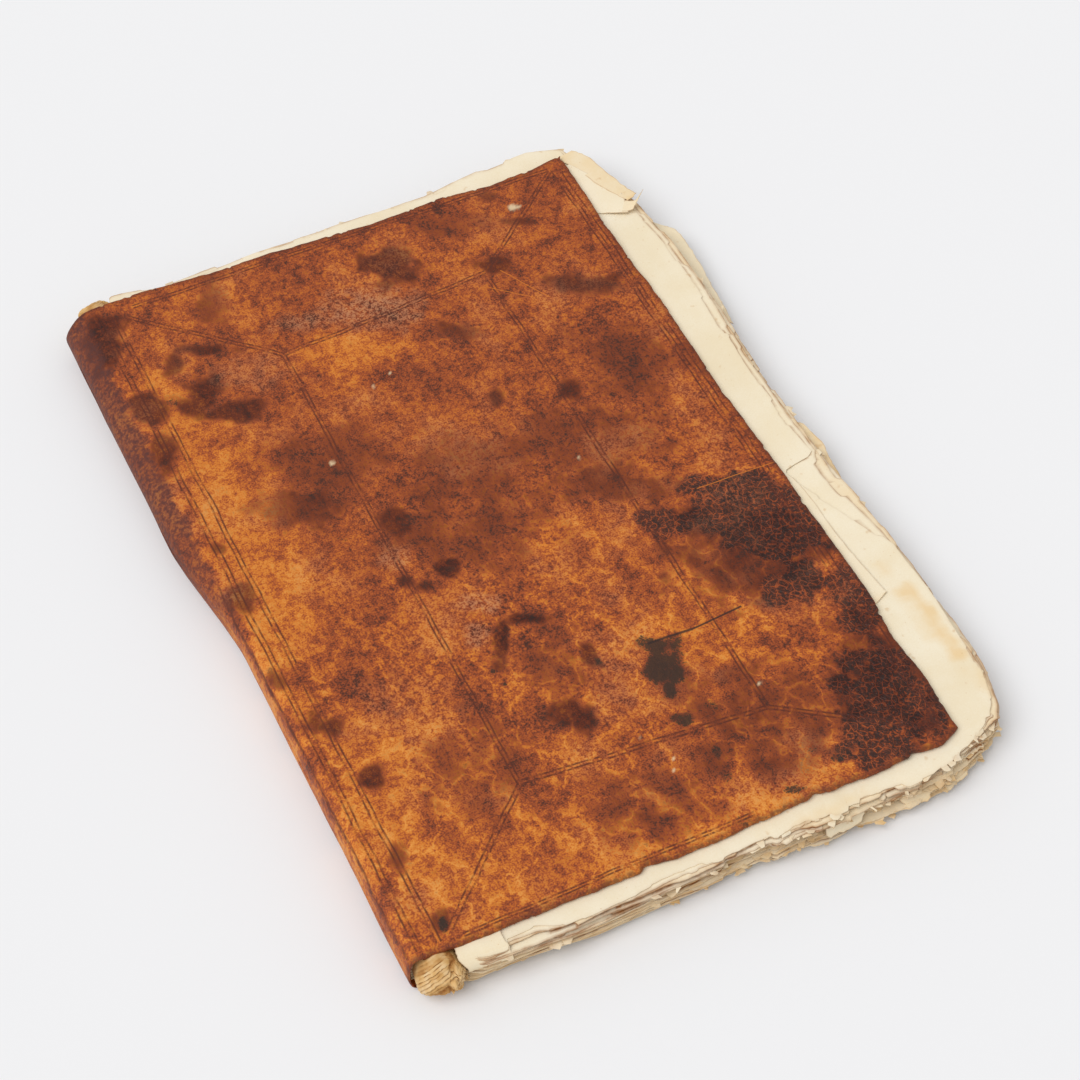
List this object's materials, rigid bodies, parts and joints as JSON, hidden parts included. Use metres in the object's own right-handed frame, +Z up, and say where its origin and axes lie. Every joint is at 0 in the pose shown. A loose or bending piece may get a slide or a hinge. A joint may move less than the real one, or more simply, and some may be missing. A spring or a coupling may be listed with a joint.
{
  "type": "antique leather book",
  "caption": "Old folio book lying closed: a thick block of torn-edged leaves in a worn, blind-tooled leather cover whose two boards open on leather hinges.",
  "frame": {"origin": "middle of the back cover's underside, hinge line to fore-edge and tail to head, on the surface that the closed book lies on", "axes": "+Z up through the book's thickness, +Y from the tail to the head along the spine, +X from the spine to the fore-edge"},
  "size_m": [0.3196, 0.4546, 0.0246],
  "materials": {
    "leaves": "matt, foxed, tan at the torn edges",
    "worn_leather": "cognac calf, mottled, cracked and scuffed, half gloss",
    "linen": "unbleached plain weave",
    "pasteboard": "matt grey-brown",
    "endpaper": "matt, tanned towards its edges"
  },
  "bodies": {
    "text_block": {"text_block": "leaves", "spine_leather": "worn_leather", "spine_linen": "linen", "sewing_tape_1": "linen", "sewing_tape_2": "linen", "sewing_tape_3": "linen", "sewing_tape_4": "linen", "sewing_tape_5": "linen"},
    "back_cover": {"back_leather": "worn_leather", "back_board": "pasteboard", "back_pastedown": "endpaper"},
    "front_cover": {"front_leather": "worn_leather", "front_board": "pasteboard", "front_pastedown": "endpaper"}
  },
  "joints": [
    {"name": "front_hinge", "type": "hinge", "parent": "text_block", "child": "front_cover", "pos_m": [-0.138, 0, 0.0246], "axis": [0, -1, 0], "range_deg": [0, 180]},
    {"name": "back_hinge", "type": "hinge", "parent": "text_block", "child": "back_cover", "pos_m": [-0.138, 0, 0], "axis": [0, 1, 0], "range_deg": [0, 183]}
  ]
}
